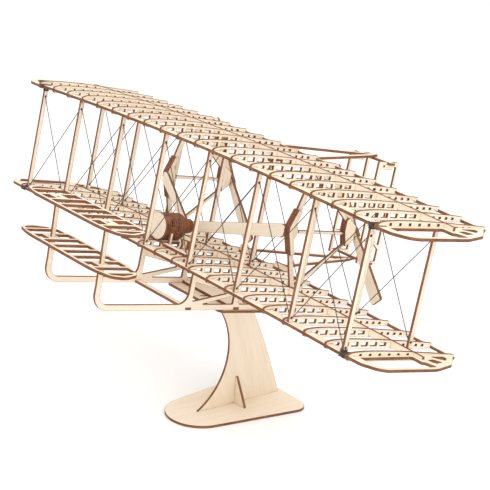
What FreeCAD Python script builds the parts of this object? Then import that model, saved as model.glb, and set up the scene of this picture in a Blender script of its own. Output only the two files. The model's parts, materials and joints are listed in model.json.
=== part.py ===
import FreeCAD, Part
import math
import os

# Biplane scale model: laser-cut 1.5 mm plywood aircraft resting nose-up on a small stand.
#
# Two frames are used.  The aircraft is drawn level in its own frame: X spans the wings, +Y runs aft,
# +Z is up along the wing struts, and the origin lies 0.3 mm under the middle of the lower front
# spar's top face, on the front strut line.  The stand is drawn directly in the library frame, whose origin is the centre
# of the base's underside, +Z up.  Every aircraft piece is turned nose-up by PITCH and set down on the
# stand when it is written out.

os.makedirs("parts", exist_ok=True)

V = FreeCAD.Vector

# ---------------------------------------------------------------- driving dimensions (millimetres)
PLY = 1.5                 # sheet thickness of every laser-cut piece
HALF = PLY / 2
PITCH = 10.2              # nose-up angle of the aircraft on its stand, degrees
DROP_Y = -49.55           # where the aircraft origin lands in the library frame
DROP_Z = 100.3

RIB_PITCH = 16.0          # distance between neighbouring ribs
RIBS_PER_SIDE = 10
RIB_X = [RIB_PITCH * (k + 0.5) for k in range(RIBS_PER_SIDE)]
TIP_X = RIB_X[-1] + HALF  # outer face of the end rib
GAP = 63.55               # clear height between the lower spar's top and the upper spar's underside
UPPER_Z = GAP + PLY       # top face of the upper front spar
DROOP_X = 147.06          # where the droop of each wing is given
LOWER_DROOP = 1.8
UPPER_DROOP = 2.9

FRONT_SPAR_Y = (-1.35, 4.3)
REAR_SPAR_Y = (42.2, 43.7)
TRAILING_Y = (71.0, 72.5)
TRAILING_TOP = -1.9       # below the rib line at the wing's level

STRUT_X = [20.2, 62.1, 106.4, 147.06]
STRUT_CHORD = 2.5
STRUT_HOLE = 1.2          # thread holes
FRONT_HOLES = (2.3, 4.9)  # height of the low hole above the strut's foot, of the high one below its head
REAR_HOLES = (4.2, 5.6)
FRONT_STRUT_Y = -0.4
REAR_STRUT_Y = 42.8
THREAD = 0.42             # bracing thread diameter

SKID_X = 24.0             # centre plane of each skid frame, under the second ribs
SKID_BOTTOM = -22.5
RAIL_HIGH = 3.2

PROP_X = 56.0             # centre plane of each propeller frame
SHAFT_Z = 31.6
BLADE_Y = 81.2            # plane in which the propeller blades turn
BLADE_TURN = -46.8        # angle of the lower blades below +X, degrees
BLADE_RADIUS = 41.5
BLADE_PITCH = 12.0
JOURNAL = 1.4             # round ends of the propeller shaft
RUN_GAP = 0.05            # running clearance round the journals

RUDDER_X = 12.3


# ---------------------------------------------------------------- small helpers
def corner_path(points):
    """Closed outline from (u, v) or (u, v, radius) corners; returns edges in the u, v plane (z = 0)."""
    count = len(points)
    trimmed = []
    for i in range(count):
        here = points[i]
        radius = here[2] if len(here) > 2 else 0.0
        centre = V(here[0], here[1], 0)
        if radius == 0.0:
            trimmed.append((centre, centre, centre))
            continue
        before = V(points[i - 1][0], points[i - 1][1], 0)
        after = V(points[(i + 1) % count][0], points[(i + 1) % count][1], 0)
        to_before = (before - centre).normalize()
        to_after = (after - centre).normalize()
        angle = to_before.getAngle(to_after)
        reach = radius / math.tan(angle / 2)
        inward = (to_before + to_after).normalize()
        middle = centre + inward * (radius / math.sin(angle / 2) - radius)
        trimmed.append((centre + to_before * reach, middle, centre + to_after * reach))
    edges = []
    for i in range(count):
        start, middle, end = trimmed[i]
        if (start - end).Length > 1e-6:
            edges.append(Part.Arc(start, middle, end).toShape())
        following = trimmed[(i + 1) % count][0]
        if (following - end).Length > 1e-6:
            edges.append(Part.makeLine(end, following))
    return edges


def sheet(points, thick=PLY, holes=()):
    """A flat piece lying in the u, v plane, centred on w = 0, with rounded-corner outline and holes."""
    body = Part.Face(Part.Wire(corner_path(points))).extrude(V(0, 0, thick))
    for hole in holes:
        body = body.cut(Part.Face(Part.Wire(corner_path(hole))).extrude(V(0, 0, thick)))
    body.translate(V(0, 0, -thick / 2))
    return body


def standing_yz(shape, x):
    """Turns a sheet drawn as (y, z) so that it stands across the X axis at x."""
    turned = shape.copy()
    matrix = FreeCAD.Matrix(0, 0, 1, x, 1, 0, 0, 0, 0, 1, 0, 0, 0, 0, 0, 1)
    return place(turned, matrix)


def standing_xz(shape, y):
    """Turns a sheet drawn as (x, z) so that it stands across the Y axis at y."""
    matrix = FreeCAD.Matrix(1, 0, 0, 0, 0, 0, -1, y, 0, 1, 0, 0, 0, 0, 0, 1)
    return place(shape.copy(), matrix)


def place(shape, matrix):
    shape.Placement = FreeCAD.Placement(matrix).multiply(shape.Placement)
    return shape


def flat_xy(shape, z):
    """Lays a sheet drawn as (x, y) with its middle plane at height z."""
    laid = shape.copy()
    laid.translate(V(0, 0, z))
    return laid


def box(x0, x1, y0, y1, z0, z1):
    return Part.makeBox(x1 - x0, y1 - y0, z1 - z0, V(x0, y0, z0))


def rod(start, end, diameter):
    a = V(*start)
    b = V(*end)
    return Part.makeCylinder(diameter / 2, (b - a).Length, a, b - a)


def mirrored(shape):
    return shape.mirror(V(0, 0, 0), V(1, 0, 0))


def moved(shape, x=0.0, y=0.0, z=0.0):
    copy = shape.copy()
    copy.translate(V(x, y, z))
    return copy


def largest(shape):
    """The biggest solid left after a cut."""
    return max(shape.Solids, key=lambda solid: solid.Volume)


def joined(first, *others):
    """One solid from overlapping pieces of the same sheet."""
    return first.fuse(list(others)).removeSplitter()


def save(name, shapes, on_stand=False):
    """Writes one node: a single solid or a group of separate solids."""
    group = shapes if isinstance(shapes, list) else [shapes]
    solids = []
    for shape in group:
        for solid in shape.Solids:
            piece = solid.copy()
            if not on_stand:
                piece.rotate(V(0, 0, 0), V(1, 0, 0), -PITCH)
                piece.translate(V(0, DROP_Y, DROP_Z))
            solids.append(piece)
    result = solids[0] if len(solids) == 1 else Part.makeCompound(solids)
    if not result.isValid():
        print("not valid:", name)
    result.exportStep("parts/" + name + ".step")
    print(name, len(solids), [round(v, 1) for v in (result.BoundBox.XLength, result.BoundBox.YLength,
                                                     result.BoundBox.ZLength)])


# ---------------------------------------------------------------- wings
def droop(x, depth):
    """How far a wing hangs below its middle at x: a large circular arc."""
    radius = (DROOP_X ** 2 + depth ** 2) / (2 * depth)
    return radius - math.sqrt(radius ** 2 - x ** 2)


def drooping_strip(half_span, depth, y_range, z_bottom, z_top):
    """A spanwise strip that follows the droop; z heights are given at the middle."""
    low = droop(half_span, depth)
    top = Part.Arc(V(-half_span, 0, z_top - low), V(0, 0, z_top), V(half_span, 0, z_top - low))
    bottom = Part.Arc(V(half_span, 0, z_bottom - low), V(0, 0, z_bottom), V(-half_span, 0, z_bottom - low))
    right = Part.makeLine(V(half_span, 0, z_top - low), V(half_span, 0, z_bottom - low))
    left = Part.makeLine(V(-half_span, 0, z_bottom - low), V(-half_span, 0, z_top - low))
    outline = Part.Wire([top.toShape(), right, bottom.toShape(), left])
    strip = Part.Face(outline).extrude(V(0, y_range[1] - y_range[0], 0))
    strip.translate(V(0, y_range[0], 0))
    return strip


# Camber of the rib above the spar's top face, at stations along the chord.
CAMBER = [(-1.2, 0.9), (0.6, 1.75), (4, 2.25), (9, 2.5), (16, 2.5), (26, 2.2), (36, 1.75), (46, 1.15),
          (56, 0.5), (66, -0.15), (71.8, -0.65)]
BELLY = [(71.8, -3.5), (65, -3.6), (50, -3.2), (34, -2.8), (18, -2.65), (5, -2.45)]


class Wing:
    """Heights that differ between the lower and the upper wing."""

    def __init__(self, level, depth, lift, slope, tip_rise):
        self.level = level
        self.depth = depth
        self.lift = lift
        self.slope = slope
        self.tip_rise = tip_rise

    def rise(self, y):
        return self.lift + self.slope * y

    def drop(self, x):
        return droop(x, self.depth)


LOWER = Wing(0.3, LOWER_DROOP, -0.3, 0.0, 0.15)
UPPER = Wing(UPPER_Z, UPPER_DROOP, -0.1, 0.031, -0.35)


def rib_blank(wing):
    """One solid rib at x = 0, its openings and spar seats still to be cut."""
    top_points = [V(y, z + wing.rise(y), 0) for y, z in CAMBER]
    belly_points = [V(y, z + wing.rise(y), 0) for y, z in BELLY]
    top = Part.BSplineCurve()
    top.interpolate(top_points)
    belly = Part.BSplineCurve()
    belly.interpolate(belly_points)
    jaw = [belly_points[-1], V(3.4, -2.35, 0), V(-0.6, -2.35, 0), V(-1.2, -1.9, 0), top_points[0]]
    edges = [top.toShape(), Part.makeLine(top_points[-1], belly_points[0]), belly.toShape()]
    for start, end in zip(jaw[:-1], jaw[1:]):
        edges.append(Part.makeLine(start, end))
    rib = Part.Face(Part.Wire(edges)).extrude(V(0, 0, PLY))
    rib.translate(V(0, 0, -HALF))
    return standing_yz(rib, 0)


def opening(y0, y1, z_middle, height):
    """Cutter for one opening in a rib at x = 0."""
    return box(-HALF, HALF, y0, y1, z_middle - height / 2, z_middle + height / 2)


def tail_openings(wing):
    """Small openings between the rear spar and the tail of a rib."""
    cutters = []
    for k in range(4):
        front = 50.2 + 4.55 * k
        cutters.append(opening(front, front + 1.8, -1.1 - 0.18 * k + wing.rise(front), 1.1))
    return cutters


def rib_windows(wing):
    """The six wide windows of an ordinary rib."""
    cutters = []
    for k in range(6):
        back = 7.3 + 6.35 * k
        height = 1.4 if k == 0 else 2.35 - 0.11 * k
        middle = (0.3 if k == 0 else 0.12 - 0.12 * k) + wing.rise(back - 2.2)
        cutters.append(opening(back - 4.4, back, middle, height))
    return cutters


def end_rib_holes(wing):
    """The small holes that an end rib has instead, above its tip plate."""
    cutters = []
    for k in range(6):
        back = 7.3 + 6.35 * k
        cutters.append(opening(back - 1.5, back, 0.75 - 0.1 * k + wing.rise(back), 1.2))
    return cutters


def wing_pieces(wing):
    """Spars, trailing strip and twenty ribs of one wing, with the rib seats cut exactly."""
    front = drooping_strip(TIP_X, wing.depth, FRONT_SPAR_Y, wing.level - PLY, wing.level)
    middle = (REAR_SPAR_Y[0] + REAR_SPAR_Y[1]) / 2
    rear_top = wing.level + 1.4 + wing.rise(middle)
    rear = drooping_strip(TIP_X + 6.3, wing.depth, REAR_SPAR_Y, rear_top - 3.7, rear_top)
    tail_top = wing.level + TRAILING_TOP + wing.rise(TRAILING_Y[0])
    trailing = drooping_strip(TIP_X, wing.depth, TRAILING_Y, tail_top - PLY, tail_top)
    blank = rib_blank(wing).cut(tail_openings(wing))
    middle_rib = blank.cut(rib_windows(wing))
    end_rib = blank.cut(end_rib_holes(wing))
    ribs = []
    for side in (-1, 1):
        for x in RIB_X:
            kind = end_rib if x == RIB_X[-1] else middle_rib
            rib = moved(kind, side * x, 0, wing.level - wing.drop(x))
            ribs.append(rib.cut([front, rear, trailing]))
    return front, rear, trailing, ribs


def tip_plate(wing):
    """The open wing-tip plate on the +X side."""
    x0 = TIP_X
    nose = FRONT_SPAR_Y[0]
    outline = [(x0, nose), (x0 + 9.0, nose, 8), (x0 + 18.6, 4.4, 9), (x0 + 19.4, 40.0, 20),
               (x0 + 14.0, 55.5, 4), (x0 + 4.5, 66.0, 3), (x0, 68.6)]
    front_hole = [(x0 + 2.2, 4.3, 0.6), (x0 + 10.5, 4.2, 5), (x0 + 16.1, 8.0, 4), (x0 + 16.7, 42.6, 1.2),
                  (x0 + 10.4, 40.8, 0.6), (x0 + 9.6, 38.9, 0.6), (x0 + 2.2, 39.4, 0.6)]
    mid_hole = [(x0 + 7.2, 45.0, 0.8), (x0 + 12.4, 45.6, 0.8),
                (x0 + 11.0, 52.0, 0.8), (x0 + 6.6, 49.6, 0.8)]
    small_hole = [(x0 + 2.6, 50.6, 0.8), (x0 + 8.6, 56.2, 1), (x0 + 6.0, 59.8, 1), (x0 + 3.2, 60.6, 0.8)]
    plate = sheet(outline, PLY, [front_hole, mid_hole, small_hole])
    plate = flat_xy(plate, -HALF)
    plate.rotate(V(0, 0, 0), V(1, 0, 0), math.degrees(math.atan(wing.slope - 0.012)))
    plate.translate(V(0, 0, wing.level - wing.drop(TIP_X) + wing.tip_rise))
    return plate


lower_front, lower_rear, lower_trailing, lower_ribs = wing_pieces(LOWER)
upper_front, upper_rear, upper_trailing, upper_ribs = wing_pieces(UPPER)
lower_tip = tip_plate(LOWER)
upper_tip = tip_plate(UPPER)
lower_tip = lower_tip.cut([lower_rear])
upper_tip = upper_tip.cut([upper_rear])


# ---------------------------------------------------------------- struts and bracing thread
def strut_span(x):
    """Heights of a strut's foot on the lower front spar and of its head under the upper one."""
    return LOWER.level - droop(x, LOWER_DROOP), GAP - droop(x, UPPER_DROOP)


def hole_heights(x, hole_ends):
    foot, head = strut_span(x)
    return foot + hole_ends[0], head - hole_ends[1]


def strut(x, y_front, z_low, z_high, hole_ends):
    """One flat strut across X with a thread hole near each end, before it is notched over the spars."""
    middle = y_front + STRUT_CHORD / 2
    body = box(x - HALF, x + HALF, y_front, y_front + STRUT_CHORD, z_low, z_high)
    for z in hole_heights(x, hole_ends):
        body = body.cut(rod((x - PLY, middle, z), (x + PLY, middle, z), STRUT_HOLE))
    return body


front_struts = []
rear_struts = []
strut_places = sorted([-x for x in STRUT_X] + STRUT_X)
for x in strut_places:
    foot, head = strut_span(x)
    between = strut(x, FRONT_STRUT_Y, foot - 0.3, head + 0.3, FRONT_HOLES).cut([lower_front, upper_front])
    front_struts.append(largest(between))
    rear_strut = strut(x, REAR_STRUT_Y, foot - 1.9, head + 2.35, REAR_HOLES)
    rear_struts.append(rear_strut.cut([lower_rear, upper_rear]))


def bracing(y_middle, hole_ends):
    """Crossed threads in every bay of one strut row, one slope each side of the middle plane."""
    threads = []
    for x0, x1 in zip(strut_places[:-1], strut_places[1:]):
        low_0, high_0 = hole_heights(x0, hole_ends)
        low_1, high_1 = hole_heights(x1, hole_ends)
        front_y = y_middle - 0.26
        back_y = y_middle + 0.26
        left, right = x0 + HALF + 0.06, x1 - HALF - 0.06
        threads.append(rod((left, front_y, high_0), (right, front_y, low_1), THREAD))
        threads.append(rod((right, back_y, high_1), (left, back_y, low_0), THREAD))
    return threads


front_threads = bracing(FRONT_STRUT_Y + STRUT_CHORD / 2, FRONT_HOLES)
rear_threads = bracing(REAR_STRUT_Y + STRUT_CHORD / 2, REAR_HOLES)


WRAP_OFFSETS = (1.0, 1.5, 2.0, 2.5, 3.0, 3.5)   # turns outboard of an end strut
WRAP_THICK = 0.4


def thread_wrap(side, wing):
    """Turns of thread bound round the front spar just outboard of an end strut."""
    turns = []
    for offset in WRAP_OFFSETS:
        at = side * (STRUT_X[-1] + offset)
        top = wing.level - wing.drop(at)
        y0, y1 = FRONT_SPAR_Y
        outer = box(at - 0.2, at + 0.2, y0 - WRAP_THICK, y1 + WRAP_THICK,
                    top - PLY - WRAP_THICK, top + WRAP_THICK)
        inner = box(at - 0.3, at + 0.3, y0 - 0.01, y1 + 0.01, top - PLY - 0.06, top + 0.06)
        turns.append(outer.cut(inner))
    return turns


thread_wraps = []
for side in (-1, 1):
    thread_wraps += thread_wrap(side, LOWER)
    thread_wraps += thread_wrap(side, UPPER)


# ---------------------------------------------------------------- canards and skid frames
SLAT_PITCH = 9.8


def canard(z_top):
    """Slatted foreplane, mortised for the two skid posts."""
    half_span, front, back = 46.8, -68.4, -42.6
    outline = [(32, front, 50), (44.6, front + 3.4, 6), (half_span + 0.6, -57.5, 8), (42.3, back - 4.6, 6),
               (30, back, 40), (-30, back, 40), (-42.3, back - 4.6, 6), (-half_span - 0.6, -57.5, 8),
               (-44.6, front + 3.4, 6), (-32, front, 50)]
    border = 2.2
    slat = 1.15
    slats = [SLAT_PITCH * k for k in range(-4, 5)]
    holes = []
    for left, right in zip(slats[:-1], slats[1:]):
        rise = 0.4 if max(abs(left), abs(right)) > 3.5 * SLAT_PITCH else 0.0
        holes.append([(left + slat, front + border + rise, 0.5), (left + slat, back - border - 2 * rise, 0.5),
                      (right - slat, back - border - 2 * rise, 0.5), (right - slat, front + border + rise, 0.5)])
    last = 4 * SLAT_PITCH + slat
    tip = [(last, front + border + 1.8, 0.5), (42.8, front + border + 3.2, 2), (half_span - border, -57.5, 3),
           (42.0, back - 5.4 - border, 2), (last, back - border - 3.9, 0.5)]
    holes.append(tip)
    holes.append([(-u, v, r) for u, v, r in reversed(tip)])
    plate = sheet(outline, PLY, holes)
    for side in (-1, 1):
        inner, outer = 2 * SLAT_PITCH + slat - 0.1, 3 * SLAT_PITCH - slat + 0.1
        left, right = sorted((side * inner, side * outer))
        pad = sheet([(left, -61.2), (right, -61.2), (right, -53.8), (left, -53.8)])
        plate = joined(plate, pad)
    return flat_xy(plate, z_top - HALF)


UPPER_CANARD_Z = 24.3
LOWER_CANARD_Z = 2.5


BAR_Y = (1.3, 34.3)       # front edges of the two bars across the skids
BAR_WIDE = 3.7


def skid_frame():
    """Side frame at x = 0: leaning canard post, skid rail, wing posts and brace, all one laser-cut plate."""
    post_front, post_back, lean = -58.2, -55.0, -0.05
    rail_top = SKID_BOTTOM + RAIL_HIGH
    low = LOWER_CANARD_Z - PLY
    high = UPPER_CANARD_Z - PLY
    top = UPPER_CANARD_Z + 0.1
    low_shift = lean * (low + 9)
    high_shift = lean * (high + 9)
    outline = [
        (post_front, -9.0), (post_front, SKID_BOTTOM, 9), (66.0, SKID_BOTTOM),
        (71.5, SKID_BOTTOM + 1.7, 0.8), (69.5, rail_top, 0.8), (36.6, rail_top, 2.0), (36.6, 0.0),
        (2.0, 0.0), (2.0, rail_top, 6.5), (post_back, rail_top, 5.8), (post_back, -9.0),
        (post_back + low_shift, low), (post_back + low_shift - 0.4, low),
        (post_back + high_shift - 0.4, high), (post_back + high_shift - 0.7, high),
        (post_back + high_shift - 0.7, top), (post_front + high_shift + 0.7, top),
        (post_front + high_shift + 0.7, high), (post_front + high_shift + 0.4, high),
        (post_front + low_shift + 0.4, low), (post_front + low_shift, low),
    ]
    upper_window = [(5.0, -6.9, 0.6), (24.6, -11.1, 1), (29.4, -12.9, 0.5), (5.0, -17.7, 0.6)]
    lower_window = [(10.0, rail_top, 0.3), (33.4, -14.2, 0.6), (33.4, rail_top, 0.6)]
    frame = sheet(outline, PLY, [upper_window, lower_window])
    for y in BAR_Y:
        frame = frame.cut(Part.makeBox(BAR_WIDE, PLY, PLY, V(y, SKID_BOTTOM, -HALF)))
    return standing_yz(frame, 0)


upper_canard = canard(UPPER_CANARD_Z)
lower_canard = canard(LOWER_CANARD_Z)
skid_blank = skid_frame()
lower_rib_outline = rib_blank(LOWER)
upper_rib_outline = rib_blank(UPPER)
skid_rib = moved(lower_rib_outline, 0, 0, LOWER.level - droop(SKID_X, LOWER_DROOP))
skids = {}
for name, x in (("port", SKID_X), ("starboard", -SKID_X)):
    above_belly = box(x - 2, x + 2, -9.0, 90.0, -2.0, 9.0)
    foot = moved(skid_blank, x).cut([moved(skid_rib, x), lower_front, above_belly])
    skids[name] = largest(foot)
both_skids = [skids["port"], skids["starboard"]]
upper_canard = upper_canard.cut(both_skids)
lower_canard = lower_canard.cut(both_skids)
bar_half = SKID_X + HALF
front_bar = box(-bar_half, bar_half, BAR_Y[0], BAR_Y[0] + BAR_WIDE, SKID_BOTTOM, SKID_BOTTOM + PLY)
rear_bar = box(-bar_half, bar_half, BAR_Y[1], BAR_Y[1] + BAR_WIDE, SKID_BOTTOM, SKID_BOTTOM + PLY)


# ---------------------------------------------------------------- propeller frames, shafts and propellers
NOSE_Y = 32.2             # blunt front of each propeller frame
# Outline of the aft bearing block.
BLOCK = [(71.8, 39.4), (71.8, 33.2), (74.4, 24.7), (79.4, 28.9), (79.2, 36.2), (73.4, 40.6)]


def prop_frame():
    """Kite-shaped frame at x = 0 joining both wings: front arms, rear braces and the bearing block core."""
    arms = sheet([(NOSE_Y, 31.5), (NOSE_Y, 34.4), (36.0, 43.8), (42.3, UPPER_Z + 2.0), (45.2, UPPER_Z + 2.0),
                  (39.1, 43.0), (37.2, 37.6, 2), (39.4, SHAFT_Z + 0.9), (39.4, SHAFT_Z - 0.9),
                  (37.2, 27.2, 2), (39.7, 18.6), (45.8, 0.0), (42.9, -1.0), (36.5, 19.4)])
    low_brace = sheet([(42.4, -2.2), (75.0, 24.9), (74.0, 26.2), (42.4, 0.1)])
    high_brace = sheet([(42.4, 66.4), (74.4, 39.0), (73.0, 37.5), (42.4, 63.6)])
    return standing_yz(joined(arms, low_brace, high_brace, sheet(BLOCK)), 0)


def cheek_front():
    """Doubling piece glued each side of the frame's nose."""
    shape = sheet([(NOSE_Y, 31.5), (NOSE_Y, 34.4), (36.0, 43.8), (38.8, 42.7), (36.6, 37.6, 2),
                   (38.2, SHAFT_Z + 0.9), (38.2, SHAFT_Z - 0.9), (36.6, 27.2, 2), (39.3, 19.9), (36.6, 18.9)])
    return standing_yz(shape, 0)


def cheek_rear():
    """Doubling piece glued each side of the aft bearing block."""
    return standing_yz(sheet(BLOCK), 0)


def journal_channel(y0, y1):
    """Square space for a round journal, as wide as the frame plate and closed by the two cheeks."""
    reach = JOURNAL / 2 + RUN_GAP
    return box(-reach, reach, y0, y1, SHAFT_Z - reach, SHAFT_Z + reach)


lower_frame_rib = moved(lower_rib_outline, 0, 0, LOWER.level - droop(PROP_X, LOWER_DROOP))
upper_frame_rib = moved(upper_rib_outline, 0, 0, UPPER.level - droop(PROP_X, UPPER_DROOP))
frame_blank = prop_frame().cut([lower_frame_rib, upper_frame_rib])
front_bore = journal_channel(NOSE_Y + 3.0, 41.0)
rear_bore = journal_channel(70.0, 80.0)
frame_blank = largest(frame_blank.cut([front_bore, rear_bore]))

front_cheek_pair = [moved(cheek_front(), -PLY), moved(cheek_front(), PLY)]
rear_cheek_pair = [moved(cheek_rear(), -PLY), moved(cheek_rear(), PLY)]


def prop_shaft():
    """Square shaft with round journals turning in the two bearing blocks."""
    body = box(-0.8, 0.8, 40.1, 71.3, SHAFT_Z - 0.8, SHAFT_Z + 0.8)
    front_journal = rod((0, NOSE_Y + 3.3, SHAFT_Z), (0, 40.6, SHAFT_Z), JOURNAL)
    rear_journal = rod((0, 71.0, SHAFT_Z), (0, BLADE_Y + 2.2, SHAFT_Z), JOURNAL)
    return joined(body, front_journal, rear_journal)


def blade():
    """One paddle blade along +X, drawn flat in (x, z) and pitched about its own long axis."""
    outline = [(2.2, -2.4), (20.0, -4.0), (BLADE_RADIUS - 0.6, -5.0, 1.2), (BLADE_RADIUS, 4.8, 1.2),
               (20.0, 4.0), (2.2, 2.4)]
    shape = standing_xz(sheet(outline), 0)
    shape.rotate(V(0, 0, 0), V(1, 0, 0), BLADE_PITCH)
    return shape


def propeller():
    """Hub block and two blades at the shaft axis, before being carried to one side."""
    hub = box(-2.6, 2.6, BLADE_Y - 1.5, BLADE_Y + 1.5, -2.6, 2.6)
    hub = hub.cut(rod((0, BLADE_Y - 3, 0), (0, BLADE_Y + 3, 0), JOURNAL))
    first = moved(blade(), 0, BLADE_Y, 0)
    second = first.copy()
    second.rotate(V(0, BLADE_Y, 0), V(0, 1, 0), 180)
    hub = hub.cut([first, second])
    pieces = [hub, first, second]
    for piece in pieces:
        piece.rotate(V(0, BLADE_Y, 0), V(0, 1, 0), -BLADE_TURN)
        piece.translate(V(0, 0, SHAFT_Z))
    return pieces


shaft_blank = prop_shaft()
prop_hub, prop_blade_a, prop_blade_b = propeller()


# ---------------------------------------------------------------- chain guides and engine
ENGINE_X = -21.0
ENGINE_Z = 11.3
ENGINE_RADIUS = 7.5
ENGINE_FRONT_Y = 7.6
ENGINE_DISCS = 11
GUIDE_Y = NOSE_Y - HALF   # the planks are glued across the frames' noses
BED_TOP = 4.0             # top of the plate under the engine


def chain_guide(side, inner_x, inner_z, inner_half):
    """Plank from behind the engine to the nose of one propeller frame."""
    outer_x, outer_z, outer_half = PROP_X - 0.3, 31.1, 3.7
    outline = [(inner_x, inner_z - inner_half), (outer_x - 2.0, outer_z - outer_half),
               (outer_x, outer_z - outer_half + 1.6), (outer_x, outer_z + outer_half - 0.6, 1.0),
               (outer_x - 3.0, outer_z + outer_half, 2.0), (inner_x, inner_z + inner_half)]
    outline = [(side * corner[0],) + corner[1:] for corner in outline]
    if side < 0:
        outline.reverse()
    return standing_xz(sheet(outline), GUIDE_Y)


frame_port = largest(moved(frame_blank, PROP_X).cut([lower_rear, upper_rear]))
cheeks_port = [moved(cheek, PROP_X) for cheek in front_cheek_pair]
guide_port = chain_guide(1, ENGINE_X - 0.5, 11.6, 3.0)
guide_starboard = chain_guide(-1, 24.5, 9.6, 2.4)

engine_bed = box(-28.2, -14.8, 8.6, 24.0, BED_TOP - PLY, BED_TOP)
engine_discs = []
for k in range(ENGINE_DISCS):
    from_back = ENGINE_DISCS - 1 - k
    radius = ENGINE_RADIUS - {0: 2.2, 1: 0.7}.get(from_back, 0.0)
    y = ENGINE_FRONT_Y + k * PLY
    disc = Part.makeCylinder(radius, PLY, V(ENGINE_X, y, ENGINE_Z), V(0, 1, 0))
    engine_discs.append(disc.cut(engine_bed))
ENGINE_BACK_Y = ENGINE_FRONT_Y + ENGINE_DISCS * PLY
cover_length = GUIDE_Y - HALF - ENGINE_BACK_Y
rear_cover = Part.makeCylinder(4.0, cover_length, V(ENGINE_X - 1.6, ENGINE_BACK_Y, ENGINE_Z), V(0, 1, 0))


# ---------------------------------------------------------------- pilot's place
def pilot_board():
    """Narrow board across the ribs, notched for the foot of the straight lever."""
    return box(-12.0, 10.0, 6.0, 9.2, 2.5, 2.5 + PLY)


def straight_lever():
    return box(-11.4, -9.9, 9.2, 10.7, 2.5, 10.2)


def curved_lever():
    """Short hooked lever standing beside the cradle."""
    outline = [(-7.6, 2.5), (-5.4, 2.5), (-4.4, 5.4), (-5.6, 8.0), (-7.4, 8.0), (-7.4, 6.8), (-6.3, 6.4),
               (-6.2, 5.2)]
    return standing_xz(sheet(outline), 14.0)


def cradle_blocks():
    """Stack of small laser-cut blocks behind the levers."""
    blocks = []
    for k in range(4):
        y = 17.0 + k * PLY
        blocks.append(box(-10.2 + 0.5 * k, -4.4, y, y + PLY, 2.5, 7.2 - 0.4 * k))
    return blocks


# ---------------------------------------------------------------- tail
TAIL_FRONT_Y = 131.2
TAIL_BACK_Y = 147.3
RUDDER_TOP = 63.8
RUDDER_BOTTOM = 1.6


def rudder():
    """Upright rudder frame at x = 0 with one tall opening and a small one below it."""
    outline = [(TAIL_FRONT_Y, RUDDER_BOTTOM, 0.6), (TAIL_BACK_Y, RUDDER_BOTTOM, 0.6),
               (TAIL_BACK_Y, RUDDER_TOP, 0.8), (141.5, RUDDER_TOP), (141.5, RUDDER_TOP - PLY),
               (137.5, RUDDER_TOP - PLY), (137.5, RUDDER_TOP), (TAIL_FRONT_Y, RUDDER_TOP, 0.8)]
    window_front, window_back = TAIL_FRONT_Y + 1.8, TAIL_BACK_Y - 1.8
    tall = [(window_front, 15.6), (142.4, 15.6, 0.8), (window_back, 13.0, 0.4), (window_back, 61.2, 0.6),
            (142.6, 61.2, 0.6), (142.6, 59.2, 0.6), (window_front, 59.2, 0.8)]
    low = [(window_front, 3.3), (window_back, 3.3), (window_back, 10.6, 0.3), (141.6, 13.6, 0.8),
           (window_front, 13.6)]
    plate = sheet(outline, PLY, [tall, low])
    plate = plate.cut(Part.makeCylinder(0.6, PLY, V(135.6, 61.1, -HALF)))
    slot = Part.makeBox(4.0, PLY, PLY, V(137.5, RUDDER_BOTTOM, -HALF))
    plate = plate.cut(slot)
    return standing_yz(plate, 0)


BOOM_Y = 38.0             # the boom lines start here, at x = 24, and meet on the centre line
BOOM_MEET_Y = 137.0
BOOM_HALF = 1.4


def boom_x(y):
    return 24.0 * (BOOM_MEET_Y + 3.0 - y) / (BOOM_MEET_Y + 3.0 - BOOM_Y)


def boom(y_start, z_start, z_tail):
    """Flat strip converging from one wing to the tail, mitred against its partner on the centre line."""
    x_start = boom_x(y_start)
    strip = sheet([(x_start - BOOM_HALF, y_start), (x_start + BOOM_HALF, y_start), (3.6, 133.0), (0.0, 141.5),
                   (0.0, 136.5)])
    rise = math.degrees(math.atan((z_tail - z_start) / (BOOM_MEET_Y - y_start)))
    strip.rotate(V(0, y_start, 0), V(1, 0, 0), rise)
    strip.translate(V(0, 0, z_start))
    return strip


rudder_blank = rudder()
upper_tail_strip = box(-15.6, 15.6, 137.5, 141.5, RUDDER_TOP - PLY, RUDDER_TOP)
lower_tail_strip = box(-15.6, 15.6, 137.5, 141.5, RUDDER_BOTTOM, RUDDER_BOTTOM + PLY)
upper_boom = boom(BOOM_Y, UPPER_Z - 2.9, RUDDER_TOP + HALF)
upper_boom = upper_boom.cut([upper_tail_strip, upper_trailing] + upper_ribs + rear_struts)
root_top = -0.25 - droop(16.0, LOWER_DROOP) + PLY
lower_boom = boom(TRAILING_Y[1], root_top - HALF, RUDDER_BOTTOM - HALF).cut([lower_tail_strip])
boom_root = box(9.0, 23.0, TRAILING_Y[0], TRAILING_Y[1], TRAILING_TOP - 0.3, root_top)
boom_root = largest(boom_root.cut([lower_trailing, lower_boom] + lower_ribs))


# ---------------------------------------------------------------- stand
SADDLE_Y = (25.0, 64.0)   # aircraft frame
SADDLE_HALF = 25.6
BASE_TOP = PLY
FOOT_FRONT = 27.8 + DROP_Y
FOOT_BACK = 86.6 + DROP_Y


def set_on_stand(shape):
    """Turns a piece drawn in the aircraft frame nose-up and sets it down on the stand."""
    piece = shape.copy()
    piece.rotate(V(0, 0, 0), V(1, 0, 0), -PITCH)
    piece.translate(V(0, DROP_Y, DROP_Z))
    return piece


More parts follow.
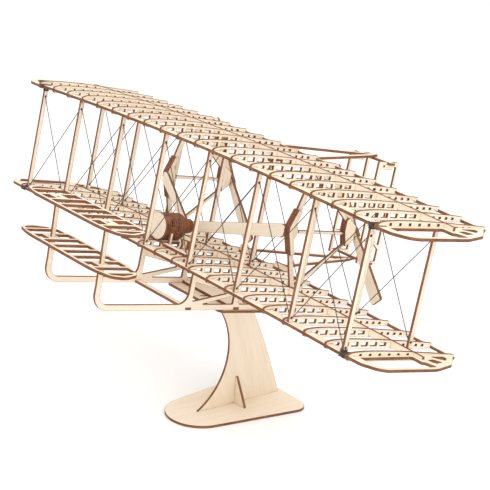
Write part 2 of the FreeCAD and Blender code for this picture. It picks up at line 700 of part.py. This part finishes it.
def base_plate():
    """Rounded-nose base with through slots for the upright and the gussets."""
    nose = Part.Arc(V(-19.3, -24.2, 0), V(0, -39.75, 0), V(19.3, -24.2, 0)).toShape()
    right = Part.makeLine(V(19.3, -24.2, 0), V(27.3, 30.3, 0))
    back = Part.makeLine(V(18.6, 39.6, 0), V(-18.6, 39.6, 0))
    left = Part.makeLine(V(-27.3, 30.3, 0), V(-19.3, -24.2, 0))
    corner_a = Part.Arc(V(27.3, 30.3, 0), V(25.4, 36.9, 0), V(18.6, 39.6, 0)).toShape()
    corner_b = Part.Arc(V(-18.6, 39.6, 0), V(-25.4, 36.9, 0), V(-27.3, 30.3, 0)).toShape()
    outline = Part.Wire([nose, right, corner_a, back, corner_b, left])
    return Part.Face(outline).extrude(V(0, 0, PLY))


saddle = sheet([(-SADDLE_HALF, SADDLE_Y[0], 3), (SADDLE_HALF, SADDLE_Y[0], 3), (SADDLE_HALF, SADDLE_Y[1], 3),
                (-SADDLE_HALF, SADDLE_Y[1], 3)])
saddle = set_on_stand(flat_xy(saddle, SKID_BOTTOM - HALF))
saddle_zone = box(-60, 60, -40, 140, SKID_BOTTOM - PLY, SKID_BOTTOM + 40)
above_saddle = set_on_stand(saddle_zone)
tenon_zone = set_on_stand(box(-HALF, HALF, 30.0, 38.0, SKID_BOTTOM - PLY - 2, SKID_BOTTOM))
tenon_zone_aft = set_on_stand(box(-HALF, HALF, 50.0, 58.0, SKID_BOTTOM - PLY - 2, SKID_BOTTOM))


def upright_plate():
    """Hourglass-fronted upright in the middle plane, tenoned into the base and the saddle."""
    waist = V(47.9 + DROP_Y, 35.8, 0)
    front_foot = V(FOOT_FRONT, BASE_TOP, 0)
    front_head = V(26.0 + DROP_Y, 74.0, 0)
    back_foot = V(FOOT_BACK, BASE_TOP, 0)
    back_middle = V(78.4 + DROP_Y, 24.4, 0)
    back_head = V(57.5 + DROP_Y, 70.0, 0)
    edges = [
        Part.Arc(front_foot, waist, front_head).toShape(),
        Part.makeLine(front_head, back_head),
        Part.Arc(back_head, back_middle, back_foot).toShape(),
        Part.makeLine(back_foot, front_foot),
    ]
    plate = Part.Face(Part.Wire(edges)).extrude(V(0, 0, PLY))
    plate.translate(V(0, 0, -HALF))
    plate = standing_yz(plate, 0).cut(above_saddle)
    feet = [box(-HALF, HALF, y, y + 12, 0, BASE_TOP + 1) for y in (-14.0, 18.0)]
    return joined(plate, *feet).fuse([tenon_zone, tenon_zone_aft]).removeSplitter()


def gusset():
    """Triangular side brace standing on the base against the upright's +X face."""
    plate = sheet([(HALF, BASE_TOP), (10.4, BASE_TOP), (10.0, BASE_TOP + 1.2), (HALF + 1.0, 18.0), (HALF, 18.0)])
    foot = sheet([(3.0, 0), (7.6, 0), (7.6, BASE_TOP + 0.5), (3.0, BASE_TOP + 0.5)])
    return standing_xz(joined(plate, foot), 54.6 + DROP_Y)


upright = upright_plate()
gusset_port = gusset()
gusset_starboard = mirrored(gusset_port)
base = base_plate().cut([upright, gusset_port, gusset_starboard])
saddle = saddle.cut([upright])


# ---------------------------------------------------------------- write the nodes
def save_pair(name, port_pieces):
    """Writes the +X piece or group as _port and its mirror image as _starboard."""
    save(name + "_port", port_pieces)
    save(name + "_starboard", [mirrored(piece) for piece in port_pieces])


save("stand_base", base, True)
save("stand_upright", upright, True)
save("stand_gussets", [gusset_port, gusset_starboard], True)
save("stand_saddle", saddle, True)

save("lower_front_spar", lower_front)
save("lower_rear_spar", lower_rear)
save("lower_trailing_strip", lower_trailing)
save("lower_ribs", lower_ribs)
save_pair("lower_tip", [lower_tip])
save("upper_front_spar", upper_front)
save("upper_rear_spar", upper_rear)
save("upper_trailing_strip", upper_trailing)
save("upper_ribs", upper_ribs)
save_pair("upper_tip", [upper_tip])
save("front_struts", front_struts)
save("rear_struts", rear_struts)
save("front_threads", front_threads)
save("rear_threads", rear_threads)
save("thread_wraps", thread_wraps)

save("upper_canard", upper_canard)
save("lower_canard", lower_canard)
save("skid_frame_port", skids["port"])
save("skid_frame_starboard", skids["starboard"])
save("front_cross_bar", front_bar)
save("rear_cross_bar", rear_bar)

save_pair("prop_frame", [frame_port])
save_pair("prop_frame_cheeks", cheeks_port)
save_pair("prop_block_cheeks", [moved(cheek, PROP_X) for cheek in rear_cheek_pair])
save("chain_guide_port", guide_port)
save("chain_guide_starboard", guide_starboard)
save("engine_bed", engine_bed)
save("engine_discs", engine_discs)
save("engine_rear_cover", rear_cover)
save("pilot_board", pilot_board())
save("straight_lever", straight_lever())
save("curved_lever", curved_lever().cut(lower_ribs))
save("cradle_blocks", [block.cut(lower_ribs) for block in cradle_blocks()])

for name, x in (("port", PROP_X), ("starboard", -PROP_X)):
    save("prop_shaft_" + name, moved(shaft_blank, x))
    save("propeller_hub_" + name, moved(prop_hub, x))
    save("propeller_blades_" + name, [moved(prop_blade_a, x), moved(prop_blade_b, x)])

save("rudder_port", moved(rudder_blank, RUDDER_X))
save("rudder_starboard", mirrored(moved(rudder_blank, RUDDER_X)))
save("upper_tail_strip", upper_tail_strip)
save("lower_tail_strip", lower_tail_strip)
save_pair("upper_boom", [upper_boom])
save_pair("lower_boom", [lower_boom])
save("boom_roots", [boom_root, mirrored(boom_root)])
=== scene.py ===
import json
import math

import bmesh
import bpy
import numpy as np
from mathutils import Matrix, Quaternion, Vector


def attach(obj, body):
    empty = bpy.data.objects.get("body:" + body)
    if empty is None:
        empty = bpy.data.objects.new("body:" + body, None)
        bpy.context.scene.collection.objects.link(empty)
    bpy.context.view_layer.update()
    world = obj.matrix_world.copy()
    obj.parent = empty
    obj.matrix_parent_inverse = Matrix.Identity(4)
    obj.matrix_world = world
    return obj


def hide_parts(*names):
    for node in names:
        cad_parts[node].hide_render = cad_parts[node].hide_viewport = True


# Looks of a laser-cut plywood biplane model on its stand.  All lengths are in metres.

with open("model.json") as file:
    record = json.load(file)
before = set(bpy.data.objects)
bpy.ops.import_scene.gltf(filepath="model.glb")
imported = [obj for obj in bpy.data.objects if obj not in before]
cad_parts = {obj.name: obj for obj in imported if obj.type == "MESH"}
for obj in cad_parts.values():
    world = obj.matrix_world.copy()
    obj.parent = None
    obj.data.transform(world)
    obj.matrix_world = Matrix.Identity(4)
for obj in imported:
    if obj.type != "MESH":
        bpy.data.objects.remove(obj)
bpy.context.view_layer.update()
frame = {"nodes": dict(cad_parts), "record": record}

MM = 0.001
PLY = 1.5 * MM            # sheet thickness
PLIES = 3                 # veneers in one sheet
CHAMFER = 0.06 * MM       # the laser leaves every arris slightly broken
WELD = 0.002 * MM         # CAD vertices closer than this are one
FLAT = math.radians(0.05)
ARRIS = math.radians(30)  # edges sharper than this are arrises
FACE_COSINE = 0.92        # faces squarer to the sheet than this show the veneer
CHAR_COSINE = 0.4         # the ones between this and FACE_COSINE are broken arrises
GRAIN_SHIFT = Vector((0.137, 0.071, 0))   # each solid is cut from another place in the veneer

PITCH = math.radians(10.2)                        # nose-up angle of the aircraft on the stand
AIRCRAFT_ORIGIN = Vector((0, -0.04955, 0.1003))   # middle of the span, on the front strut line

STRUT_X = [-0.14706, -0.1064, -0.0621, -0.0202, 0.0202, 0.0621, 0.1064, 0.14706]
STRUT_CHORD = 2.5 * MM
# Each row of struts: front edge, height of the low holes above the foot, of the high ones below the head.
STRUT_ROWS = {"front": (-0.4 * MM, 2.3 * MM, 4.9 * MM), "rear": (42.8 * MM, 4.2 * MM, 5.6 * MM)}
FRONT_SPAR = (-1.35 * MM, 4.3 * MM)       # front and back edges
LOWER_LEVEL = 0.3 * MM                    # top of the lower front spar
WING_GAP = 63.55 * MM                     # from the aircraft origin up to the upper front spar
DROOP_X = STRUT_X[-1]                     # where the droop of each wing is given
LOWER_DROOP = 1.8 * MM
UPPER_DROOP = 2.9 * MM
THREAD_RADIUS = 0.25 * MM
WRAP_RADIUS = 0.2 * MM
WRAP_REACH = 0.22 * MM    # the middle of a turn stands this far off the wood it goes round
WRAP_OFFSETS = [k * MM for k in (1.0, 1.5, 2.0, 2.5, 3.0, 3.5)]   # turns outboard of an end strut
STRUT_TURNS = 3
STRUT_TURN_PITCH = 0.45 * MM
THREAD_OFFSET = 0.26 * MM  # the two threads of a bay pass each side of the struts' middle

THREAD_NODES = ["front_threads", "rear_threads", "thread_wraps"]
AIRCRAFT_UP = (0.0, math.sin(PITCH), math.cos(PITCH))
# Square strips: which way the sheet they were cut from is facing.
STRIP_FACING = {"prop_shaft_port": (1.0, 0.0, 0.0), "prop_shaft_starboard": (1.0, 0.0, 0.0),
                "lower_trailing_strip": AIRCRAFT_UP, "upper_trailing_strip": AIRCRAFT_UP}


# ---------------------------------------------------------------- node-tree helpers
class Nodes:
    """Short calls for building one material's node tree."""

    def __init__(self, name):
        self.material = bpy.data.materials.new(name)
        self.material.use_nodes = True
        self.tree = self.material.node_tree
        self.shader = self.tree.nodes["Principled BSDF"]

    def node(self, kind, **settings):
        node = self.tree.nodes.new("ShaderNode" + kind)
        for key, value in settings.items():
            setattr(node, key, value)
        return node

    def link(self, source, target):
        self.tree.links.new(source, target)

    def put(self, target, value):
        """Sets a socket from another socket or from a plain value."""
        if isinstance(value, bpy.types.NodeSocket):
            self.link(value, target)
        else:
            target.default_value = value

    def math(self, operation, a, b=0.0, c=0.0, clamp=False):
        node = self.node("Math", operation=operation, use_clamp=clamp)
        for socket, value in zip(node.inputs, (a, b, c)):
            self.put(socket, value)
        return node.outputs[0]

    def vector(self, operation, a, b=(0, 0, 0)):
        node = self.node("VectorMath", operation=operation)
        self.put(node.inputs[0], a)
        self.put(node.inputs[1], b)
        return node.outputs["Value"] if operation == "DOT_PRODUCT" else node.outputs[0]

    def attribute(self, name):
        return self.node("Attribute", attribute_name=name).outputs["Vector"]

    def island(self):
        """A number from 0 to 1 that differs from solid to solid."""
        return self.node("NewGeometry").outputs["Random Per Island"]

    def noise(self, vector, scale, detail=3.0, roughness=0.55):
        node = self.node("TexNoise")
        self.put(node.inputs["Vector"], vector)
        node.inputs["Scale"].default_value = scale
        node.inputs["Detail"].default_value = detail
        node.inputs["Roughness"].default_value = roughness
        return node.outputs["Fac"]

    def ramp(self, value, *stops):
        """A colour ramp from (position, grey or colour) stops."""
        node = self.node("ValToRGB")
        self.put(node.inputs[0], value)
        elements = node.color_ramp.elements
        while len(elements) < len(stops):
            elements.new(0.5)
        for element, (position, colour) in zip(elements, stops):
            rgb = colour if isinstance(colour, tuple) else (colour, colour, colour)
            element.position = position
            element.color = (*rgb, 1)
        return node.outputs["Color"]

    def mix(self, share, a, b, blend="MIX"):
        node = self.node("Mix", data_type="RGBA", blend_type=blend)
        self.put(node.inputs["Factor"], share)
        for socket, value in ((node.inputs[6], a), (node.inputs[7], b)):
            self.put(socket, (*value, 1) if isinstance(value, tuple) else value)
        return node.outputs[2]

    def bump(self, height, distance, strength=1.0):
        node = self.node("Bump")
        node.inputs["Distance"].default_value = distance
        node.inputs["Strength"].default_value = strength
        self.put(node.inputs["Height"], height)
        return node.outputs["Normal"]

    def nearness(self, radius):
        """0 on open faces, rising towards 1 at an edge, within radius of it."""
        bevel = self.node("Bevel", samples=6)
        bevel.inputs["Radius"].default_value = radius
        true_normal = self.node("NewGeometry").outputs["Normal"]
        turned = self.vector("DOT_PRODUCT", bevel.outputs["Normal"], true_normal)
        return self.math("SUBTRACT", 1.0, turned, clamp=True)


# ---------------------------------------------------------------- materials
CREAM_LIGHT = (0.90, 0.80, 0.66)
CREAM = (0.86, 0.74, 0.59)
CREAM_DARK = (0.76, 0.61, 0.45)
SMOKE = (0.50, 0.30, 0.17)
SCORCH = (0.13, 0.045, 0.020)
BURNT_LIGHT = (0.33, 0.14, 0.065)
BURNT = (0.175, 0.062, 0.028)
CHAR = (0.055, 0.020, 0.011)


def wood_coordinates(n, along, across, depth):
    """Sheet coordinates scaled to waves per metre along the grain, across it and through the sheet."""
    sheet = n.attribute("sheet")
    return n.vector("MULTIPLY", sheet, (along, across, depth))


def ply_face():
    """The sheet's own face: veneer, with a scorched line and a faint smoke stain along every cut."""
    n = Nodes("ply_face")
    streaks = n.noise(wood_coordinates(n, 60, 1600, 300), 1.0, 4.0, 0.6)
    bands = n.noise(wood_coordinates(n, 12, 190, 60), 1.0, 2.0)
    pores = n.noise(wood_coordinates(n, 500, 5200, 900), 1.0, 2.0)
    tone = n.math("MULTIPLY_ADD", streaks, 0.55, n.math("MULTIPLY", bands, 0.45))
    colour = n.ramp(tone, (0.28, CREAM_DARK), (0.50, CREAM), (0.78, CREAM_LIGHT))
    colour = n.mix(n.ramp(pores, (0.60, 0.0), (0.74, 0.22)), colour, SMOKE)
    colour = n.mix(n.math("MULTIPLY", n.island(), 0.30), colour, CREAM_DARK)
    patchy = n.noise(wood_coordinates(n, 420, 420, 420), 1.0, 3.0)
    smoke = n.math("MULTIPLY", n.nearness(1.0 * MM), n.math("MULTIPLY_ADD", patchy, 3.2, 0.6), clamp=True)
    colour = n.mix(n.math("MULTIPLY", smoke, 0.75), colour, SMOKE)
    scorch = n.ramp(n.nearness(0.5 * MM), (0.02, 0.0), (0.09, 1.0))
    colour = n.mix(n.math("MULTIPLY", scorch, 0.92), colour, SCORCH)
    n.link(colour, n.shader.inputs["Base Color"])
    n.link(n.ramp(streaks, (0.3, 0.52), (0.7, 0.66)), n.shader.inputs["Roughness"])
    n.link(n.bump(streaks, 0.02 * MM, 0.5), n.shader.inputs["Normal"])
    n.shader.inputs["Specular IOR Level"].default_value = 0.35
    return n.material


def ply_edge():
    """A laser cut through the sheet: brown, in three plies, nearly black beside the arrises."""
    n = Nodes("ply_edge")
    split = n.node("SeparateXYZ")
    n.link(n.attribute("sheet"), split.inputs[0])
    depth = n.math("ABSOLUTE", split.outputs["Z"])
    inner = n.math("LESS_THAN", depth, PLY / PLIES / 2)
    kerf = n.noise(wood_coordinates(n, 900, 900, 60), 1.0, 3.0)
    burn = n.noise(wood_coordinates(n, 160, 160, 500), 1.0, 3.0)
    colour = n.ramp(burn, (0.32, BURNT), (0.68, BURNT_LIGHT))
    colour = n.mix(n.math("MULTIPLY", inner, 0.40), colour, BURNT)
    colour = n.mix(n.ramp(kerf, (0.45, 0.0), (0.75, 0.35)), colour, SCORCH)
    layer = n.math("DIVIDE", n.math("PINGPONG", depth, PLY / 2), PLY / 2)
    rim = n.ramp(layer, (0.60, 0.0), (0.97, 0.85))
    colour = n.mix(rim, colour, CHAR)
    n.link(colour, n.shader.inputs["Base Color"])
    n.shader.inputs["Roughness"].default_value = 0.75
    n.link(n.bump(kerf, 0.05 * MM, 0.6), n.shader.inputs["Normal"])
    n.shader.inputs["Specular IOR Level"].default_value = 0.25
    return n.material


def ply_char():
    """The broken arris between a face and a cut, burnt to charcoal."""
    n = Nodes("ply_char")
    soot = n.noise(wood_coordinates(n, 700, 700, 700), 1.0, 2.0)
    n.link(n.ramp(soot, (0.3, CHAR), (0.75, SCORCH)), n.shader.inputs["Base Color"])
    n.shader.inputs["Roughness"].default_value = 0.8
    n.link(n.bump(soot, 0.02 * MM, 0.5), n.shader.inputs["Normal"])
    return n.material


def thread_material():
    """Dark waxed sewing thread."""
    n = Nodes("waxed_thread")
    place = n.node("TexCoord").outputs["Object"]
    fluff = n.noise(place, 2600, 3.0)
    colour = n.ramp(fluff, (0.3, (0.030, 0.020, 0.016)), (0.75, (0.095, 0.070, 0.060)))
    n.link(colour, n.shader.inputs["Base Color"])
    n.shader.inputs["Roughness"].default_value = 0.55
    n.link(n.bump(fluff, 0.03 * MM, 0.7), n.shader.inputs["Normal"])
    return n.material


PLY_MATERIALS = [ply_face(), ply_edge(), ply_char()]
FACE_SLOT, EDGE_SLOT, CHAR_SLOT = range(3)    # places in PLY_MATERIALS
THREAD = thread_material()


# ---------------------------------------------------------------- laser-cut pieces
def solids(bm):
    """The faces of each separate solid, in the order of its first face."""
    seen = set()
    groups = []
    for first in bm.faces:
        if first in seen:
            continue
        group = []
        waiting = [first]
        seen.add(first)
        while waiting:
            face = waiting.pop()
            group.append(face)
            for edge in face.edges:
                for other in edge.link_faces:
                    if other not in seen:
                        seen.add(other)
                        waiting.append(other)
        groups.append(group)
    return groups


def sheet_axes(faces, strip_facing):
    """Unit vectors along the grain, across it and through the sheet, and the solid's centre.

    The sheet faces the way that most of the solid's area does, unless strip_facing says another way.
    """
    spread = np.zeros((3, 3))
    for face in faces:
        normal = np.array(face.normal)
        spread += face.calc_area() * np.outer(normal, normal)
    through = np.array(strip_facing) if strip_facing else np.linalg.eigh(spread)[1][:, -1]
    points = np.array([vert.co for face in faces for vert in face.verts])
    centre = (points.min(0) + points.max(0)) / 2
    flat = (points - centre) - np.outer((points - centre) @ through, through)
    grain = np.linalg.eigh(flat.T @ flat)[1][:, -1]
    across = np.cross(through, grain)
    return Vector(grain), Vector(across), Vector(through), Vector(centre)


def finish_sheet(faces, layer, number, strip_facing):
    """Gives one solid its sheet coordinates and its face, cut-edge and char materials."""
    grain, across, through, centre = sheet_axes(faces, strip_facing)
    shift = GRAIN_SHIFT * number
    for face in faces:
        cosine = abs(face.normal.dot(through))
        if cosine > FACE_COSINE:
            face.material_index = FACE_SLOT
        elif cosine > CHAR_COSINE:
            face.material_index = CHAR_SLOT
        else:
            face.material_index = EDGE_SLOT
        for vert in face.verts:
            offset = vert.co - centre
            vert[layer] = Vector((offset.dot(grain), offset.dot(across), offset.dot(through))) + shift


def wooden_piece(node, body):
    """A copy of a CAD node with flat faces merged, arrises broken and wood coordinates added."""
    bm = bmesh.new()
    bm.from_mesh(frame["nodes"][node].data)
    bmesh.ops.remove_doubles(bm, verts=bm.verts, dist=WELD)
    bmesh.ops.dissolve_limit(bm, angle_limit=FLAT, verts=bm.verts, edges=bm.edges)
    sharp = [edge for edge in bm.edges if len(edge.link_faces) == 2 and edge.calc_face_angle() > ARRIS]
    bmesh.ops.bevel(bm, geom=sharp, offset=CHAMFER, segments=1, affect="EDGES", clamp_overlap=False)
    bm.normal_update()
    layer = bm.verts.layers.float_vector.new("sheet")
    for number, faces in enumerate(solids(bm)):
        finish_sheet(faces, layer, number, STRIP_FACING.get(node))
    for face in bm.faces:
        face.smooth = True
    mesh = bpy.data.meshes.new(node + "_wood")
    bm.to_mesh(mesh)
    bm.free()
    mesh.set_sharp_from_angle(angle=ARRIS)
    for material in PLY_MATERIALS:
        mesh.materials.append(material)
    piece = bpy.data.objects.new(node + "_wood", mesh)
    bpy.context.scene.collection.objects.link(piece)
    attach(piece, body)
    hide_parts(node)
    return piece


def wooden_pieces():
    """Every node but the threads, each on the body that the record puts it in."""
    for body, members in frame["record"]["behaviour"]["bodies"].items():
        for node in members:
            if node not in THREAD_NODES:
                wooden_piece(node, body)


# ---------------------------------------------------------------- thread
def on_aircraft(x, y, z):
    """A point given along the span, the chord and the struts, in the shared frame."""
    turned = Matrix.Rotation(-PITCH, 3, "X") @ Vector((x, y, z))
    return turned + AIRCRAFT_ORIGIN


def droop(x, depth):
    """How far a wing hangs below its middle at x."""
    radius = (DROOP_X ** 2 + depth ** 2) / (2 * depth)
    return radius - math.sqrt(radius ** 2 - x ** 2)


def twisted_tube(points, radius, sides=8, step=0.55 * MM, pitch=2.4 * MM):
    """Vertices and faces of a two-strand thread along a line of points."""
    line = [Vector(point) for point in points]
    rings = []
    travelled = 0.0
    reference = Vector((0.0, 1.0, 0.0))
    for start, end in zip(line[:-1], line[1:]):
        length = (end - start).length
        count = max(1, round(length / step))
        direction = (end - start) / length
        side = direction.cross(reference).normalized()
        up = side.cross(direction)
        for k in range(count + 1):
            at = start + (end - start) * (k / count)
            turn = 2 * math.pi * (travelled + length * k / count) / pitch
            ring = []
            for s in range(sides):
                angle = 2 * math.pi * s / sides
                lobe = radius * (0.80 + 0.20 * abs(math.cos(angle - turn / 2)))
                ring.append(at + side * (lobe * math.cos(angle)) + up * (lobe * math.sin(angle)))
            rings.append(ring)
        travelled += length
    vertices = [vertex for ring in rings for vertex in ring]
    faces = []
    for r in range(len(rings) - 1):
        for s in range(sides):
            a = r * sides + s
            b = r * sides + (s + 1) % sides
            faces.append((a, b, b + sides, a + sides))
    faces.append(tuple(reversed(range(sides))))
    faces.append(tuple(range(len(vertices) - sides, len(vertices))))
    return vertices, faces


def thread_piece(name, runs, node, radius):
    """One object holding several lengths of thread that stand for a CAD node."""
    vertices = []
    faces = []
    for points in runs:
        tube_vertices, tube_faces = twisted_tube(points, radius)
        first = len(vertices)
        vertices += tube_vertices
        faces += [tuple(first + index for index in face) for face in tube_faces]
    mesh = bpy.data.meshes.new(name)
    mesh.from_pydata(vertices, [], faces)
    mesh.materials.append(THREAD)
    mesh.polygons.foreach_set("use_smooth", [True] * len(mesh.polygons))
    piece = bpy.data.objects.new(name, mesh)
    bpy.context.scene.collection.objects.link(piece)
    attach(piece, "aircraft")
    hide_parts(node)
    return piece


def bracing_run(row, starts_high):
    """One thread laced through high and low strut holes in turn, from tip to tip."""
    front, low_end, high_end = STRUT_ROWS[row]
    y = front + STRUT_CHORD / 2 + (-THREAD_OFFSET if starts_high else THREAD_OFFSET)
    through = PLY / 2 + 0.06 * MM
    points = []
    for number, x in enumerate(STRUT_X):
        if (number % 2 == 0) == starts_high:
            z = WING_GAP - droop(x, UPPER_DROOP) - high_end
        else:
            z = LOWER_LEVEL - droop(x, LOWER_DROOP) + low_end
        points.append(on_aircraft(x - through, y, z))
        points.append(on_aircraft(x + through, y, z))
    return points


def spar_turns(side, level, depth):
    """Turns round the front spar just outboard of an end strut."""
    front, back = FRONT_SPAR[0] - WRAP_REACH, FRONT_SPAR[1] + WRAP_REACH
    points = []
    for offset in WRAP_OFFSETS:
        at = side * (STRUT_X[-1] + offset)
        high = level - droop(at, depth) + WRAP_REACH
        low = high - PLY - 2 * WRAP_REACH
        section = [(front, high), (back, high), (back, low), (front, low)]
        for k, (y, z) in enumerate(section):
            points.append(on_aircraft(at + side * (0.12 * k - 0.2) * MM, y, z))
    return points


def slanting_turns(side, level, depth):
    """Two pairs of crossing passes over the front of the joint, from the strut to the last turn."""
    runs = []
    x = STRUT_X[-1]
    y = FRONT_SPAR[0] - 0.5 * MM
    high = level - droop(x, depth) + 0.35 * MM
    low = high - PLY - 0.7 * MM
    for shift in (0.0, 0.7):
        for start, end in ((-0.4, 2.6), (2.6, -0.4)):
            runs.append([on_aircraft(side * (x + (start + shift) * MM), y, high),
                         on_aircraft(side * (x + (end + shift) * MM), y, low)])
    return runs


def strut_turns(x, z):
    """Three turns round a strut just clear of the spar."""
    front = STRUT_ROWS["front"][0] - WRAP_RADIUS
    back = front + STRUT_CHORD + 2 * WRAP_RADIUS
    side = PLY / 2 + WRAP_RADIUS
    corners = [(-side, front), (side, front), (side, back), (-side, back)]
    points = []
    for k in range(4 * STRUT_TURNS + 1):
        dx, y = corners[k % 4]
        points.append(on_aircraft(x + dx, y, z + (k / 4 - STRUT_TURNS / 2) * STRUT_TURN_PITCH))
    return points


def wraps():
    """Thread bound round each front spar and the end strut that meets it."""
    runs = []
    upper_level = WING_GAP + PLY
    for side, x in ((-1, STRUT_X[0]), (1, STRUT_X[-1])):
        runs.append(spar_turns(side, LOWER_LEVEL, LOWER_DROOP))
        runs.append(spar_turns(side, upper_level, UPPER_DROOP))
        runs += slanting_turns(side, LOWER_LEVEL, LOWER_DROOP)
        runs += slanting_turns(side, upper_level, UPPER_DROOP)
        runs.append(strut_turns(x, LOWER_LEVEL - droop(x, LOWER_DROOP) + 1.0 * MM))
        runs.append(strut_turns(x, WING_GAP - droop(x, UPPER_DROOP) - 1.0 * MM))
    return runs


def threads():
    """The laced bracing of both rows of struts and the binding of the end ones."""
    for row in STRUT_ROWS:
        runs = [bracing_run(row, starts_high) for starts_high in (True, False)]
        thread_piece(row + "_lacing", runs, row + "_threads", THREAD_RADIUS)
    thread_piece("spar_wraps", wraps(), "thread_wraps", WRAP_RADIUS)


# ---------------------------------------------------------------- studio
AIM = Vector((0.0027, 0.0033, 0.0992))
VIEW_AZIMUTH = math.radians(51.31)
VIEW_ELEVATION = math.radians(18.71)
VIEW_ROLL = math.radians(3.77)
VIEW_DISTANCE = 0.8529
LENS = 111.96             # millimetres, as Blender has them
SENSOR_WIDTH = 36         # millimetres
FLOOR_RADIUS = 6.0


def direction(azimuth, elevation):
    """The unit vector towards a place seen from the origin; azimuth 0 is in front of the nose."""
    return Vector((math.sin(azimuth) * math.cos(elevation), -math.cos(azimuth) * math.cos(elevation),
                   math.sin(elevation)))


def add_camera():
    """A long lens aimed at the middle of the model and rolled a little."""
    data = bpy.data.cameras.new("camera")
    data.lens = LENS
    data.sensor_width = SENSOR_WIDTH
    camera = bpy.data.objects.new("camera", data)
    back = direction(VIEW_AZIMUTH, VIEW_ELEVATION)
    camera.location = AIM + back * VIEW_DISTANCE
    camera.rotation_mode = "QUATERNION"
    camera.rotation_quaternion = back.to_track_quat("Z", "Y") @ Quaternion((0, 0, 1), VIEW_ROLL)
    bpy.context.scene.collection.objects.link(camera)
    bpy.context.scene.camera = camera


def add_softbox(name, azimuth, elevation, distance, size, power):
    """A square area light aimed at the model."""
    data = bpy.data.lights.new(name, "AREA")
    data.size = size
    data.energy = power
    light = bpy.data.objects.new(name, data)
    back = direction(math.radians(azimuth), math.radians(elevation))
    light.location = AIM + back * distance
    light.rotation_mode = "QUATERNION"
    light.rotation_quaternion = back.to_track_quat("Z", "Y")
    bpy.context.scene.collection.objects.link(light)


def add_floor():
    """A wide round table top with a very faint paper texture."""
    bm = bmesh.new()
    bmesh.ops.create_circle(bm, cap_ends=True, radius=FLOOR_RADIUS, segments=96)
    mesh = bpy.data.meshes.new("floor")
    bm.to_mesh(mesh)
    bm.free()
    n = Nodes("floor_paper")
    place = n.node("TexCoord").outputs["Object"]
    fibre = n.noise(place, 900, 2.0)
    n.link(n.ramp(fibre, (0.3, 0.94), (0.7, 0.96)), n.shader.inputs["Base Color"])
    n.shader.inputs["Roughness"].default_value = 0.9
    mesh.materials.append(n.material)
    floor = bpy.data.objects.new("floor", mesh)
    bpy.context.scene.collection.objects.link(floor)


def studio():
    """A pale table top under an even white sky, with one large light high on each side of the camera."""
    world = bpy.data.worlds.new("studio")
    world.use_nodes = True
    background = world.node_tree.nodes["Background"]
    background.inputs["Color"].default_value = (1.0, 0.995, 0.985, 1)
    background.inputs["Strength"].default_value = 0.95
    bpy.context.scene.world = world
    bpy.context.scene.view_settings.view_transform = "Standard"
    add_floor()
    add_softbox("key", 75, 42, 1.5, 1.0, 7.5)
    add_softbox("top", 20, 78, 1.6, 1.3, 9.0)
    add_camera()


wooden_pieces()
threads()
studio()
